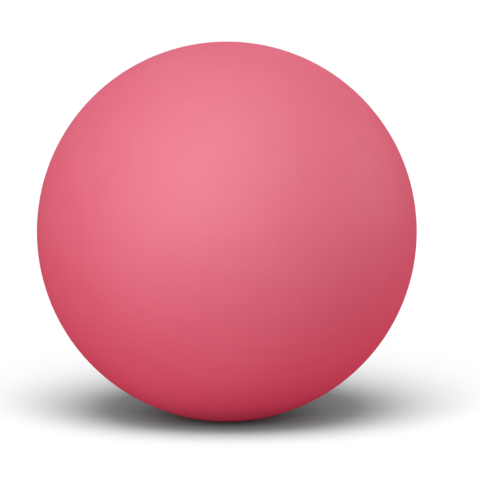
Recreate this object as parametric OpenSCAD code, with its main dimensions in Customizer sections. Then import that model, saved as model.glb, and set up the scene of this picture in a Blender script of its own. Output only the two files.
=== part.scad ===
// Hollow rubber bouncy ball: two moulded half shells cemented rim to rim.
// The origin is the ball's centre. The seam lies in the XZ plane, so the axis
// that both half shells were moulded about is Y, and -Y is the front.

/* [Ball] */
// Outside diameter of the ball
ball_d = 63.5; // [45:0.5:100]
// Thickness of the rubber wall
wall_t = 4.5; // [3:0.1:9]

/* [Seam] */
// Thickness of the cured cement between the two rims
cement_t = 0.4; // [0.2:0.05:1]
// Leg of the bevel on the outer edge of each rim
outer_bevel = 0.25; // [0.1:0.05:0.6]
// Leg of the bevel on the inner edge of each rim
inner_bevel = 0.8; // [0.4:0.1:1.2]
// Depth of the buffed cement line below the ball's surface
line_recess = 0.08; // [0.02:0.01:0.1]
// Height of the squeezed-out cement bead inside the ball
bead_rise = 0.7; // [0.3:0.1:1]

/* [Colours] */
// Colour of the pigmented rubber
rubber_colour = "#E06A80"; // ["#E06A80":rose, "#D24A62":crimson, "#F0A0AE":pale pink]
// Colour of the cured cement
cement_colour = "#B8455C"; // ["#B8455C":dark rose, "#8E3A48":brown rose]

/* [Hidden] */
$fn = 128;

ball_r = ball_d / 2;
cavity_r = ball_r - wall_t;

// Each rim is a flat ring, half the cement's thickness away from the seam plane.
rim_y = cement_t / 2;
rim_outer_r = sqrt(ball_r ^ 2 - rim_y ^ 2);
rim_inner_r = sqrt(cavity_r ^ 2 - rim_y ^ 2);

// The inner bevel is a 45 degree line, on which radius and height add up to
// inner_bevel_sum. It meets the cavity's wall at the foot of the cement bead.
inner_bevel_sum = rim_inner_r + inner_bevel + rim_y;
foot_spread = sqrt(2 * cavity_r ^ 2 - inner_bevel_sum ^ 2);
foot_r = (inner_bevel_sum + foot_spread) / 2;
foot_y = (inner_bevel_sum - foot_spread) / 2;

// The bead's face is an arc from foot to foot over a crest inside the cavity.
crest_r = cavity_r - bead_rise;
bead_sagitta = foot_r - crest_r;
bead_r = (foot_y ^ 2 + bead_sagitta ^ 2) / (2 * bead_sagitta);
bead_centre_r = crest_r + bead_r;

// Height of the groove that the two outer bevels open at the ball's surface
groove_h = cement_t + 2 * outer_bevel;

// Turns a profile about the Y axis. The profile's x is the radius from that
// axis, and its y is the distance from the seam plane towards the front.
module turned_about_y() {
    rotate([90, 0, 0])
        rotate_extrude()
            children();
}

// What a 45 degree bevel takes off one edge of the rim. Towards is 1 for the
// outer edge and -1 for the inner edge.
module bevel_cut(edge_r, leg, towards) {
    polygon([
        [edge_r - 2 * towards * leg, rim_y - leg],
        [edge_r + towards * leg, rim_y + 2 * leg],
        [edge_r + towards * leg, rim_y - leg],
    ]);
}

// One half shell's wall, cut square at its rim, with both rim edges bevelled
module half_shell_profile() {
    difference() {
        intersection() {
            circle(ball_r);
            translate([0, rim_y])
                square(ball_r);
        }
        circle(cavity_r);
        bevel_cut(rim_outer_r, outer_bevel, 1);
        bevel_cut(rim_inner_r, inner_bevel, -1);
    }
}

// The cement fills what the rims leave free: the film between them, the groove
// at the outer bevels up to its buffed line, and the bead at the inner bevels.
module cement_profile() {
    difference() {
        intersection() {
            circle(ball_r - line_recess);
            union() {
                translate([bead_centre_r, 0])
                    circle(bead_r);
                translate([bead_centre_r, -groove_h / 2])
                    square([ball_r - bead_centre_r, groove_h]);
            }
        }
        half_shell_profile();
        mirror([0, 1])
            half_shell_profile();
    }
}

module front_half_shell() {
    color(rubber_colour)
        turned_about_y()
            half_shell_profile();
}

// Both halves come out of the same mould, so the rear one is the front one turned round
module rear_half_shell() {
    rotate([0, 0, 180])
        front_half_shell();
}

module seam_cement() {
    color(cement_colour)
        turned_about_y()
            cement_profile();
}

front_half_shell();
rear_half_shell();
seam_cement();
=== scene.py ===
import math

import bmesh
import bpy
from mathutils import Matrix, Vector


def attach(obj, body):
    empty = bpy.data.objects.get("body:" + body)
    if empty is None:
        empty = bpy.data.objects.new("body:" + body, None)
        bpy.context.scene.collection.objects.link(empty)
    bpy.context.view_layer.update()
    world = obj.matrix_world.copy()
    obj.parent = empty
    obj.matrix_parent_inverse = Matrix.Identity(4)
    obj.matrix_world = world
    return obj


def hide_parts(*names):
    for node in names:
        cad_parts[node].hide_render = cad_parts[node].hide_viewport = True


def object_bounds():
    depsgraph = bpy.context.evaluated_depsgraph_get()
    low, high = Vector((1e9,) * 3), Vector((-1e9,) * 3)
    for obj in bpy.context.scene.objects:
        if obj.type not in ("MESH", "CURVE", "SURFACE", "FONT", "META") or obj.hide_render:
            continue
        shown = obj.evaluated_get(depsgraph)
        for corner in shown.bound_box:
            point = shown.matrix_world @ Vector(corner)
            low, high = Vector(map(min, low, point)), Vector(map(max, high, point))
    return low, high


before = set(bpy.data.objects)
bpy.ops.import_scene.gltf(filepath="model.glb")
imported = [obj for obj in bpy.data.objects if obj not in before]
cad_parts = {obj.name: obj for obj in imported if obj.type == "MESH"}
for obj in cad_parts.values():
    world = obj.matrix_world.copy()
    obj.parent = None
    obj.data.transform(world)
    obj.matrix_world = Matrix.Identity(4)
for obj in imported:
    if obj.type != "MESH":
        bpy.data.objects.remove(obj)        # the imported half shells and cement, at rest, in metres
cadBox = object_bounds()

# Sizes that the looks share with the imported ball
shellPoints = [v.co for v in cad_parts["front_half_shell"].data.vertices]
cementPoints = [v.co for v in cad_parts["seam_cement"].data.vertices]
tiny = 1e-6              # metres, the slack when points are told apart


def offAxis(point):
    return math.hypot(point.x, point.z)    # the moulding axis is Y


ballR = (cadBox[1].y - cadBox[0].y) / 2
cavityR = min(p.length for p in shellPoints)
rimY = -max(p.y for p in shellPoints)      # half the cement's thickness
rimRadii = [offAxis(p) for p in shellPoints if abs(p.y + rimY) < tiny]
rimInnerR, rimOuterR = min(rimRadii), max(rimRadii)
footY = min(-p.y for p in shellPoints if abs(p.length - cavityR) < tiny)
footR = math.sqrt(cavityR ** 2 - footY ** 2)
lineR = max(offAxis(p) for p in cementPoints)
crestR = min(offAxis(p) for p in cementPoints)
print("ball radius", ballR, "cavity", cavityR, "rim", rimY, rimInnerR, rimOuterR)
print("bead foot", footY, footR, "cement line", lineR, "bead crest", crestR)


def startPiece():
    if bpy.context.mode != "OBJECT":
        bpy.ops.object.mode_set(mode="OBJECT")
    bpy.ops.object.select_all(action="DESELECT")


def editMode(on):
    bpy.ops.object.mode_set(mode="EDIT" if on else "OBJECT")


def pickEdges(piece, test):
    bpy.ops.mesh.select_all(action="DESELECT")
    bpy.ops.mesh.select_mode(type="EDGE")
    mesh = bmesh.from_edit_mesh(piece.data)
    for edge in mesh.edges:
        edge.select_set(test(edge))
    bmesh.update_edit_mesh(piece.data)


def pickFaces(piece, test):
    bpy.ops.mesh.select_all(action="DESELECT")
    bpy.ops.mesh.select_mode(type="FACE")
    mesh = bmesh.from_edit_mesh(piece.data)
    for face in mesh.faces:
        face.select_set(test(face))
    bmesh.update_edit_mesh(piece.data)


def applyModifier(piece, kind, **settings):
    modifier = piece.modifiers.new(kind.lower(), kind)
    for name, value in settings.items():
        setattr(modifier, name, value)
    bpy.ops.object.modifier_apply(modifier=modifier.name)


halfShell = {
    "levels": 6,            # 256 edges round the rim
    "rimSegments": 3,       # roundness of the rim's outer edge
    "rimSlack": 0.00001,    # how far a point of the rim's outer edge may lie inside it
    "smoothAngle": 40,      # degrees
}


def makeFrontHalfShell():
    startPiece()
    bpy.ops.mesh.primitive_cube_add(size=2 * ballR)
    shell = bpy.context.active_object
    shell.name = "frontHalfShell"
    applyModifier(shell, "SUBSURF", levels=halfShell["levels"], render_levels=halfShell["levels"])
    applyModifier(shell, "CAST", factor=1, use_radius_as_size=False, size=ballR)
    editMode(True)
    # The cavity's wall is the skin drawn in and turned round, cut at the bead's foot
    bpy.ops.mesh.select_all(action="SELECT")
    bpy.ops.mesh.duplicate()
    bpy.ops.transform.resize(value=(cavityR / ballR,) * 3, center_override=(0, 0, 0))
    bpy.ops.mesh.flip_normals()
    bpy.ops.mesh.bisect(plane_co=(0, -footY, 0), plane_no=(0, -1, 0), clear_inner=True)
    # The skin is cut at the rim
    middleR = (ballR + cavityR) / 2
    pickFaces(shell, lambda f: f.calc_center_median().length > middleR)
    bpy.ops.mesh.bisect(plane_co=(0, -rimY, 0), plane_no=(0, -1, 0), clear_inner=True)
    # The inner bevel is drawn out of the cavity's edge, and the flat rim closes the wall
    pickEdges(shell, lambda e: e.is_boundary and e.verts[0].co.length < middleR)
    bpy.ops.mesh.extrude_edges_move(TRANSFORM_OT_translate={"value": (0, footY - rimY, 0)})
    flare = rimInnerR / footR
    bpy.ops.transform.resize(value=(flare, 1, flare), center_override=(0, 0, 0))
    pickEdges(shell, lambda e: e.is_boundary)
    bpy.ops.mesh.bridge_edge_loops()
    # The rim's outer edge is rounded off
    sharpR = math.sqrt(ballR ** 2 - rimY ** 2)
    leastR = sharpR - halfShell["rimSlack"]
    pickEdges(shell, lambda e: all(offAxis(v.co) > leastR and v.co.y > -rimY - tiny for v in e.verts))
    bpy.ops.mesh.bevel(offset=sharpR - rimOuterR, segments=halfShell["rimSegments"], affect="EDGES")
    editMode(False)
    bpy.ops.object.shade_smooth_by_angle(angle=math.radians(halfShell["smoothAngle"]))
    return shell


def makeRearHalfShell(front):
    startPiece()
    front.select_set(True)
    bpy.context.view_layer.objects.active = front
    bpy.ops.object.duplicate()              # the copy has its own mesh
    rear = bpy.context.active_object
    rear.name = "rearHalfShell"
    rear.rotation_euler.z = math.pi
    bpy.ops.object.transform_apply(location=False, rotation=True, scale=False)
    return rear


seamCement = {
    "steps": 256,           # round the seam
    "lineCuts": 3,          # points across the cement line
    "beadCuts": 9,          # points across the bead
    "dish": 0.00003,        # how far the cement line sinks in its middle
    "beadWander": 0.00022,  # how far the squeezed-out bead wanders
    "beadWaves": ((5, 1, 1), (13, 0, 0.7), (29, 2, 0.5)),    # waves round the seam, phase and share
    "smoothAngle": 40,      # degrees
}


def makeSeamCement():
    startPiece()
    # The film between the rims, as a profile right of the axis
    bpy.ops.mesh.primitive_plane_add(size=1, location=(0, 0, 0))
    cement = bpy.context.active_object
    cement.name = "seamCement"
    editMode(True)
    bpy.ops.mesh.select_all(action="SELECT")
    bpy.ops.transform.resize(value=(rimOuterR - rimInnerR, 2 * rimY, 1), center_override=(0, 0, 0))
    bpy.ops.transform.translate(value=((rimOuterR + rimInnerR) / 2, 0, 0))
    # The groove's filling widens along the outer bevels, up to its line
    pickEdges(cement, lambda e: all(v.co.x > rimOuterR - tiny for v in e.verts))
    lineHalf = rimY + lineR - rimOuterR
    bpy.ops.mesh.extrude_edges_move(TRANSFORM_OT_translate={"value": (lineR - rimOuterR, 0, 0)})
    bpy.ops.transform.resize(value=(1, lineHalf / rimY, 1), center_override=(lineR, 0, 0))
    bpy.ops.mesh.subdivide(number_cuts=seamCement["lineCuts"])
    # The bead widens along the inner bevels to its feet, and bulges into the cavity
    pickEdges(cement, lambda e: all(v.co.x < rimInnerR + tiny for v in e.verts))
    bpy.ops.mesh.extrude_edges_move(TRANSFORM_OT_translate={"value": (footR - rimInnerR, 0, 0)})
    bpy.ops.transform.resize(value=(1, footY / rimY, 1), center_override=(footR, 0, 0))
    bpy.ops.mesh.subdivide(number_cuts=seamCement["beadCuts"])
    mesh = bmesh.from_edit_mesh(cement.data)
    for v in mesh.verts:
        if v.co.x < footR + tiny:
            v.co.x -= (footR - crestR) * math.cos(v.co.y / footY * math.pi / 2)
        elif v.co.x > lineR - tiny:
            v.co.x -= seamCement["dish"] * math.cos(v.co.y / lineHalf * math.pi / 2)
    bmesh.update_edit_mesh(cement.data)
    # The outline goes once round the moulding axis, without the lines across it
    bpy.ops.mesh.select_mode(type="FACE")
    bpy.ops.mesh.select_all(action="SELECT")
    bpy.ops.mesh.delete(type="ONLY_FACE")
    pickEdges(cement, lambda e: abs(e.verts[0].co.x - e.verts[1].co.x) < tiny
              and rimInnerR - tiny < e.verts[0].co.x < rimOuterR + tiny)
    bpy.ops.mesh.delete(type="EDGE")
    bpy.ops.mesh.select_all(action="SELECT")
    bpy.ops.mesh.spin(steps=seamCement["steps"], angle=2 * math.pi, center=(0, 0, 0), axis=(0, 1, 0))
    bpy.ops.mesh.select_all(action="SELECT")
    bpy.ops.mesh.remove_doubles(threshold=tiny)
    bpy.ops.mesh.normals_make_consistent(inside=False)
    # The squeezed-out bead wanders a little, as it did when the halves were pressed together
    mesh = bmesh.from_edit_mesh(cement.data)
    for v in mesh.verts:
        if offAxis(v.co) < footR - tiny:
            turn = math.atan2(v.co.z, v.co.x)
            wander = sum(part * math.sin(waves * turn + phase)
                         for waves, phase, part in seamCement["beadWaves"])
            share = (footR - offAxis(v.co)) / (footR - crestR)
            grow = 1 + seamCement["beadWander"] * share * wander / offAxis(v.co)
            v.co.x *= grow
            v.co.z *= grow
    bmesh.update_edit_mesh(cement.data)
    editMode(False)
    bpy.ops.object.shade_smooth_by_angle(angle=math.radians(seamCement["smoothAngle"]))
    return cement


frontHalfShell = makeFrontHalfShell()
rearHalfShell = makeRearHalfShell(frontHalfShell)
cementRing = makeSeamCement()
for piece in (frontHalfShell, rearHalfShell, cementRing):
    mesh = piece.data
    print(piece.name, len(mesh.vertices), "points", len(mesh.polygons), "faces")


# Node helpers

def addNode(tree, kind, inputs={}, **settings):
    node = tree.nodes.new("ShaderNode" + kind)
    for name, value in settings.items():
        setattr(node, name, value)
    for name, value in inputs.items():
        setInput(tree, node.inputs[name], value)
    return node


def setInput(tree, socket, value):
    if isinstance(value, bpy.types.NodeSocket):
        tree.links.new(value, socket)
    else:
        socket.default_value = value


def calc(tree, operation, *values):
    node = addNode(tree, "Math", operation=operation)
    for i, value in enumerate(values):
        setInput(tree, node.inputs[i], value)
    return node.outputs[0]


def spread(tree, value, low, high, newLow=0.0, newHigh=1.0):
    node = addNode(tree, "MapRange", {"Value": value, "From Min": low, "From Max": high,
                                      "To Min": newLow, "To Max": newHigh}, interpolation_type="SMOOTHSTEP")
    return node.outputs["Result"]


def blendColour(tree, factor, first, second):
    node = addNode(tree, "Mix", data_type="RGBA")
    setInput(tree, node.inputs["Factor"], factor)
    setInput(tree, node.inputs[6], first)     # the two colour sockets
    setInput(tree, node.inputs[7], second)
    return node.outputs[2]


def noise(tree, place, size, detail, roughness=0.5):
    scale = calc(tree, "DIVIDE", 1.0, size)
    return addNode(tree, "TexNoise", {"Vector": place, "Scale": scale, "Detail": detail,
                                      "Roughness": roughness}).outputs["Fac"]


def newGroup(name, inputs, outputs):
    group = bpy.data.node_groups.new(name, "ShaderNodeTree")
    for socketName in inputs:
        group.interface.new_socket(socketName, in_out="INPUT", socket_type="NodeSocketFloat")
    for socketName in outputs:
        group.interface.new_socket(socketName, in_out="OUTPUT", socket_type="NodeSocketFloat")
    start = group.nodes.new("NodeGroupInput").outputs
    end = group.nodes.new("NodeGroupOutput").inputs
    place = addNode(group, "TexCoord").outputs["Object"]
    return group, start, end, place


def useGroup(tree, group, inputs):
    node = addNode(tree, "Group", node_tree=group)
    for name, value in inputs.items():
        node.inputs[name].default_value = value
    return node.outputs


grainLook = {
    "fine": (3.0, 0.6),         # detail and roughness of the noise
    "swellDetail": 1.0,
    "swellShare": 1.6,          # height of the slow unevenness against the fine grain's
}


# Fine moulded grain with a slow unevenness under it
def makeMouldedGrain():
    group, start, end, place = newGroup("mouldedGrain", ["Grain Size", "Swell Size"], ["Height", "Grain"])
    grain = noise(group, place, start["Grain Size"], *grainLook["fine"])
    swell = noise(group, place, start["Swell Size"], grainLook["swellDetail"])
    group.links.new(calc(group, "MULTIPLY_ADD", swell, grainLook["swellShare"], grain), end["Height"])
    group.links.new(grain, end["Grain"])
    return group


toneLook = {
    "cloudDetail": 4.0,
    "cloudSpan": (0.35, 0.65),      # noise from none to full
    "smudge": (3.0, 0.6),           # detail and roughness of the noise
    "smudgeSpan": (0.58, 0.72),
}


# Cloudy tone of the pigment, and sparse smudges from handling
def makeHandledTone():
    group, start, end, place = newGroup("handledTone", ["Cloud Size", "Smudge Size"], ["Cloud", "Smudge"])
    cloud = noise(group, place, start["Cloud Size"], toneLook["cloudDetail"])
    smudge = noise(group, place, start["Smudge Size"], *toneLook["smudge"])
    group.links.new(spread(group, cloud, *toneLook["cloudSpan"]), end["Cloud"])
    group.links.new(spread(group, smudge, *toneLook["smudgeSpan"]), end["Smudge"])
    return group


buffingLook = {
    "raggedSize": 0.005,            # metres
    "raggedDetail": 3.0,
    "raggedWidth": (0.8, 0.6),      # share of the width that the noise adds, and the least width
    "edgeSpan": (1.0, 0.55),        # share of the width, from the band's edge to where it is full
    "drawnOut": (0.02, 1, 0.02),    # draws the lines out along the seam
    "lineDetail": 2.0,
}


# The seam was ground flush: a ragged band of fine lines that run along it
def makeSeamBuffing():
    group, start, end, place = newGroup("seamBuffing", ["Half Width", "Line Size"], ["Band", "Lines"])
    away = calc(group, "ABSOLUTE", addNode(group, "SeparateXYZ", {"Vector": place}).outputs["Y"])
    edgeNoise = noise(group, place, buffingLook["raggedSize"], buffingLook["raggedDetail"])
    ragged = calc(group, "MULTIPLY_ADD", edgeNoise, *buffingLook["raggedWidth"])
    share = calc(group, "DIVIDE", away, calc(group, "MULTIPLY", start["Half Width"], ragged))
    mapping = addNode(group, "Mapping", {"Vector": place, "Scale": buffingLook["drawnOut"]})
    lines = noise(group, mapping.outputs["Vector"], start["Line Size"], buffingLook["lineDetail"])
    group.links.new(spread(group, share, *buffingLook["edgeSpan"]), end["Band"])
    group.links.new(lines, end["Lines"])
    return group


mouldedGrain = makeMouldedGrain()
handledTone = makeHandledTone()
seamBuffing = makeSeamBuffing()


def newFinish(name):
    material = bpy.data.materials.new(name)
    material.use_nodes = True
    tree = material.node_tree
    return material, tree, tree.nodes["Principled BSDF"]


# Roughness from the grain, and bump from the grain and the buffing lines
def addTouch(tree, surface, look, grain, buffing):
    roughness = spread(tree, grain["Grain"], *look["grainSpan"], *look["roughness"])
    setInput(tree, surface.inputs["Roughness"], roughness)
    lines = calc(tree, "MULTIPLY", buffing["Band"], buffing["Lines"])
    height = calc(tree, "MULTIPLY_ADD", lines, look["lineHeight"], grain["Height"])
    bump = addNode(tree, "Bump", {"Strength": look["bump"], "Distance": look["bumpHeight"], "Height": height})
    setInput(tree, surface.inputs["Normal"], bump.outputs["Normal"])


# Sizes are in metres
pinkRubber = {
    "pigment": (0.69, 0.145, 0.21, 1),
    "chalky": (0.7, 0.155, 0.22, 1),
    "smudged": (0.62, 0.12, 0.18, 1),
    "buffed": (0.74, 0.21, 0.275, 1),   # the ground band along the seam
    "groove": (0.45, 0.075, 0.11, 1),   # dirt beside the cement line
    "bounce": (0.025, 0.05, 0.045, 1),  # what the floor sees, so that its shadow stays grey
    "grain": {"Grain Size": 0.00035, "Swell Size": 0.004},
    "tone": {"Cloud Size": 0.014, "Smudge Size": 0.007},
    "buffing": {"Half Width": 0.0026, "Line Size": 0.00016},
    "grooveBand": {"Half Width": 0.0006},   # its lines aren't used
    "smudgeShare": 0.16,
    "grooveShare": 0.55,
    "lineSpan": (0.3, 0.7),             # the lines' noise, from faint to strong
    "scuffShare": (0.25, 0.8),
    "coatIor": 1.85,
    "coatRoughness": 0.6,
    "coatFade": 0.78,                   # how early the coat fades towards the rim
    "coatLoss": 0.25,                   # share of the coat that the buffing took
    "grainSpan": (0.3, 0.7),            # the grain's noise, from smooth to rough
    "roughness": (0.66, 0.72),
    "lineHeight": 1.4,                  # depth of the buffing lines against the grain's
    "bump": 0.25,
    "bumpHeight": 0.00004,
}


def makePinkRubber():
    material, tree, surface = newFinish("pinkRubber")
    grain = useGroup(tree, mouldedGrain, pinkRubber["grain"])
    tone = useGroup(tree, handledTone, pinkRubber["tone"])
    buffing = useGroup(tree, seamBuffing, pinkRubber["buffing"])
    groove = useGroup(tree, seamBuffing, pinkRubber["grooveBand"])
    clouded = blendColour(tree, tone["Cloud"], pinkRubber["pigment"], pinkRubber["chalky"])
    smudges = calc(tree, "MULTIPLY", tone["Smudge"], pinkRubber["smudgeShare"])
    smudged = blendColour(tree, smudges, clouded, pinkRubber["smudged"])
    strokes = spread(tree, buffing["Lines"], *pinkRubber["lineSpan"], *pinkRubber["scuffShare"])
    scuffs = calc(tree, "MULTIPLY", buffing["Band"], strokes)
    buffed = blendColour(tree, scuffs, smudged, pinkRubber["buffed"])
    dirt = calc(tree, "MULTIPLY", groove["Band"], pinkRubber["grooveShare"])
    grimed = blendColour(tree, dirt, buffed, pinkRubber["groove"])
    bounced = addNode(tree, "LightPath").outputs["Is Diffuse Ray"]
    setInput(tree, surface.inputs["Base Color"], blendColour(tree, bounced, grimed, pinkRubber["bounce"]))
    # The satin gloss is strongest face on, and the chalky surface loses it towards the rim
    surface.inputs["Specular IOR Level"].default_value = 0.0
    surface.inputs["Coat IOR"].default_value = pinkRubber["coatIor"]
    surface.inputs["Coat Roughness"].default_value = pinkRubber["coatRoughness"]
    rim = addNode(tree, "LayerWeight", {"Blend": pinkRubber["coatFade"]}).outputs["Facing"]
    faceOn = calc(tree, "SUBTRACT", 1.0, rim)
    kept = calc(tree, "MULTIPLY_ADD", buffing["Band"], -pinkRubber["coatLoss"], 1.0)
    setInput(tree, surface.inputs["Coat Weight"], calc(tree, "MULTIPLY", faceOn, kept))
    addTouch(tree, surface, pinkRubber, grain, buffing)
    return material


# Sizes are in metres
rubberCement = {
    "colour": (0.46, 0.05, 0.085, 1),
    "worn": (0.56, 0.08, 0.13, 1),
    "grimed": (0.3, 0.05, 0.06, 1),
    "grain": {"Grain Size": 0.0002, "Swell Size": 0.0015},
    "tone": {"Cloud Size": 0.004, "Smudge Size": 0.003},
    "buffing": {"Half Width": 0.0026, "Line Size": 0.0001},
    "grimeShare": 0.6,
    "gloss": 0.3,
    "grainSpan": (0.3, 0.7),            # the grain's noise, from smooth to rough
    "roughness": (0.5, 0.68),
    "lineHeight": 0.8,                  # depth of the buffing lines against the grain's
    "bump": 0.3,
    "bumpHeight": 0.00004,
}


def makeRubberCement():
    material, tree, surface = newFinish("rubberCement")
    grain = useGroup(tree, mouldedGrain, rubberCement["grain"])
    tone = useGroup(tree, handledTone, rubberCement["tone"])
    buffing = useGroup(tree, seamBuffing, rubberCement["buffing"])
    clouded = blendColour(tree, tone["Cloud"], rubberCement["colour"], rubberCement["worn"])
    grime = calc(tree, "MULTIPLY", tone["Smudge"], rubberCement["grimeShare"])
    setInput(tree, surface.inputs["Base Color"], blendColour(tree, grime, clouded, rubberCement["grimed"]))
    surface.inputs["Specular IOR Level"].default_value = rubberCement["gloss"]
    addTouch(tree, surface, rubberCement, grain, buffing)
    return material


rubber = makePinkRubber()
cementFinish = makeRubberCement()
for piece, node, finish, slot in (
    (frontHalfShell, "front_half_shell", rubber, "pink_rubber"),
    (rearHalfShell, "rear_half_shell", rubber, "pink_rubber"),
    (cementRing, "seam_cement", cementFinish, "rubber_cement"),
):
    piece.data.materials.append(finish)
    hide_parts(node)
    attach(piece, "root")
print("pieces dressed")

# Floor, light and camera

studio = {
    "floorSize": 4.0,                       # metres
    "floorShown": (1, 1, 1, 1),             # what the camera and reflections see
    "floorPaintedBounce": (0.53, 0.17, 0.24, 1),     # the floor's colour to light going on to the ball: painted pink, standing in for the ball's own light bounced back from below
    "floorPaintedGlow": (0.245, 0.06, 0.1, 1),     # painted glow: pink light that the floor adds by itself, in the ball's shadow too, standing in for that same bounce
    "noGlow": (0, 0, 0, 1),                 # the glow that the camera and reflections see
    "domeColour": (1, 1, 1, 1),
    "dome": 0.15,
    "domeShown": 1.0,                       # what the camera and reflections see
    # azimuth from the front, elevation and width in degrees, and strength
    "floorLamps": {
        "floorHigh": (-4, 60, 40, 2.0),
        "floorLow": (-3, 32, 60, 1.7),
        "floorWide": (-3, 72, 160, 0.2),
    },
    "ballLamps": {
        "key": (-41, 54, 12, 0.46),
        "front": (3, 46, 60, 0.88),
        "overhead": (175, 75, 80, 1.2),
        "left": (-41, 7, 60, 1.56),
        "rightBack": (118, 3, 60, 1.96),
        "back": (180, 15, 50, 0.6),
    },
}


# Rays that should meet the white surroundings: the camera's, and those in reflections
def seenWhite(tree):
    path = addNode(tree, "LightPath").outputs
    mirrored = calc(tree, "MAXIMUM", path["Is Glossy Ray"], path["Is Transmission Ray"])
    return calc(tree, "MAXIMUM", path["Is Camera Ray"], mirrored)


def makeFloor():
    startPiece()
    bpy.ops.mesh.primitive_plane_add(size=studio["floorSize"], location=(0, 0, -ballR))
    floor = bpy.context.active_object
    floor.name = "floor"
    material, tree, surface = newFinish("paleFloor")
    tree.nodes.remove(surface)
    white = seenWhite(tree)
    # To the camera and reflections the floor is white; to light going on to the ball it is painted pink and
    # glows pink, a painted stand-in for the ball's own bounced light
    litColour = blendColour(tree, white, studio["floorPaintedBounce"], studio["floorShown"])
    lit = addNode(tree, "BsdfDiffuse", {"Color": litColour})
    glowColour = blendColour(tree, white, studio["floorPaintedGlow"], studio["noGlow"])
    glow = addNode(tree, "Emission", {"Color": glowColour})
    both = addNode(tree, "AddShader")
    tree.links.new(lit.outputs["BSDF"], both.inputs[0])
    tree.links.new(glow.outputs["Emission"], both.inputs[1])
    tree.links.new(both.outputs["Shader"], tree.nodes["Material Output"].inputs["Surface"])
    material.cycles.emission_sampling = "NONE"    # the glow then reaches only diffuse rays
    floor.data.materials.append(material)
    return floor


def makeWorld():
    world = bpy.data.worlds.new("studio")
    bpy.context.scene.world = world
    world.use_nodes = True
    tree = world.node_tree
    strength = addNode(tree, "Mix", data_type="FLOAT")
    setInput(tree, strength.inputs["Factor"], seenWhite(tree))
    setInput(tree, strength.inputs[2], studio["dome"])          # the two number sockets
    setInput(tree, strength.inputs[3], studio["domeShown"])
    background = tree.nodes["Background"]
    background.inputs["Color"].default_value = studio["domeColour"]
    setInput(tree, background.inputs["Strength"], strength.outputs[0])
    world.cycles.sampling_method = "NONE"     # reflections then see the white in full


# Each lamp lights only the pieces in its group, so the ball's lamps add no shadows to the floor's own
def makeGroup(name, pieces):
    group = bpy.data.collections.new(name)
    for piece in pieces:
        group.objects.link(piece)
    return group


def makeLamp(name, group, azimuth, elevation, width, strength):
    light = bpy.data.lights.new(name, "SUN")
    light.angle = math.radians(width)
    light.energy = strength
    lamp = bpy.data.objects.new(name, light)
    bpy.context.scene.collection.objects.link(lamp)
    turn, rise = math.radians(azimuth), math.radians(elevation)
    towards = Vector((math.sin(turn) * math.cos(rise), -math.cos(turn) * math.cos(rise), math.sin(rise)))
    lamp.rotation_euler = towards.to_track_quat("Z", "Y").to_euler()
    lamp.light_linking.receiver_collection = group


floorGroup = makeGroup("floorLit", [makeFloor()])
ballGroup = makeGroup("ballLit", [frontHalfShell, rearHalfShell, cementRing])
makeWorld()
for group, lamps in ((floorGroup, studio["floorLamps"]), (ballGroup, studio["ballLamps"])):
    for name, settings in lamps.items():
        makeLamp(name, group, *settings)

photoView = {
    "picture": 480,                 # pixels each way
    "ballCentre": (226.8, 231.5),   # pixels from the top left corner
    "ballRadius": 190.0,            # pixels
    "elevation": 4.5,               # degrees
    "distance": 12.5,               # ball radii
    "nearest": 0.1,                 # ball radii, where the view starts
    "sensor": 36,                   # millimetres
}


def makeCamera():
    lens = bpy.data.cameras.new("camera")
    camera = bpy.data.objects.new("camera", lens)
    bpy.context.scene.collection.objects.link(camera)
    bpy.context.scene.camera = camera
    half = photoView["picture"] / 2
    ballAngle = math.asin(1 / photoView["distance"])
    lens.sensor_width = photoView["sensor"]
    lens.lens = lens.sensor_width / 2 * photoView["ballRadius"] / (half * math.tan(ballAngle))
    x, y = photoView["ballCentre"]
    lens.shift_x = (half - x) / photoView["picture"]
    lens.shift_y = (y - half) / photoView["picture"]
    lens.clip_start = photoView["nearest"] * ballR
    rise = math.radians(photoView["elevation"])
    back = Vector((0, -math.cos(rise), math.sin(rise)))
    camera.location = back * photoView["distance"] * ballR
    camera.rotation_euler = back.to_track_quat("Z", "Y").to_euler()


makeCamera()
bpy.context.scene.view_settings.view_transform = "Standard"
print("stage set")
